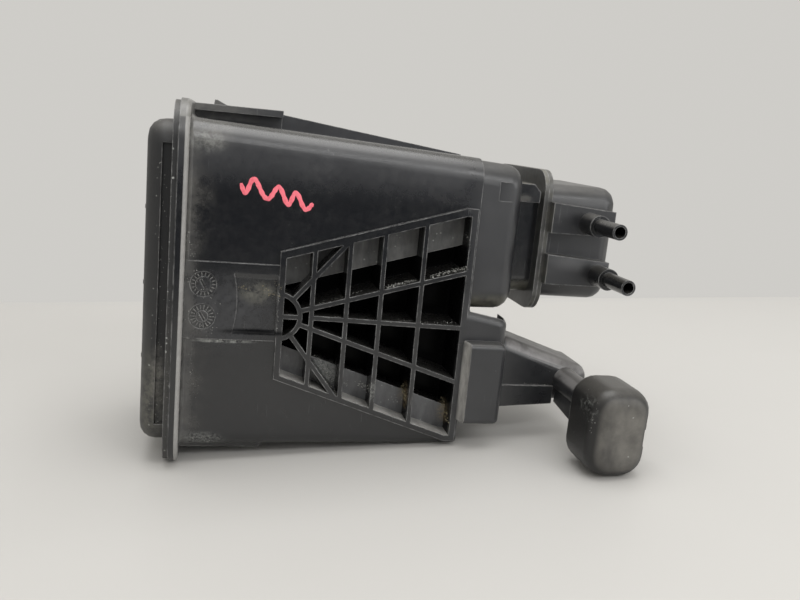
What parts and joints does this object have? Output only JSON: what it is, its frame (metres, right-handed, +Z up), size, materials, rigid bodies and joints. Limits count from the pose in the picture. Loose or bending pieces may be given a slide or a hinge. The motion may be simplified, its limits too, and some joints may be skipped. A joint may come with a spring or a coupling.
{
  "type": "charcoal canister",
  "caption": "Fuel vapour canister: black moulded case with a ribbed waist, welded end cover, hose nipples on a capped port and a rubber boot on its vent neck.",
  "frame": {"origin": "on the top rail: at the flange face, mid-depth, on the underside of the rail plate", "axes": "+X along the case from the end cover to the ports, -Y to the ribbed front with the hose nipples, +Z up"},
  "size_m": [0.2492, 0.1674, 0.1841],
  "materials": {
    "case_plastic": "semi-gloss moulded black, dusty and scuffed",
    "cover_plastic": "moulded black, dusty",
    "port_plastic": "semi-gloss moulded black, dusty",
    "boot_rubber": "worn black rubber with brown-grey dust",
    "filter_foam": "open-cell foam",
    "charcoal": "granular, matt",
    "felt": "needled felt",
    "plate_plastic": "moulded grey",
    "spring_steel": "drawn wire"
  },
  "bodies": {
    "root": {"case": "case_plastic", "end_cover": "cover_plastic", "port_cap": "port_plastic", "vent_boot": "boot_rubber", "vent_filter": "filter_foam", "upper_carbon_bed": "charcoal", "lower_carbon_bed": "charcoal", "port_felt": "felt", "vent_felt": "felt", "upper_cover_felt": "felt", "lower_cover_felt": "felt", "upper_grid_plate": "plate_plastic", "lower_grid_plate": "plate_plastic", "upper_front_spring": "spring_steel", "upper_rear_spring": "spring_steel", "lower_front_spring": "spring_steel", "lower_rear_spring": "spring_steel"}
  },
  "joints": []
}
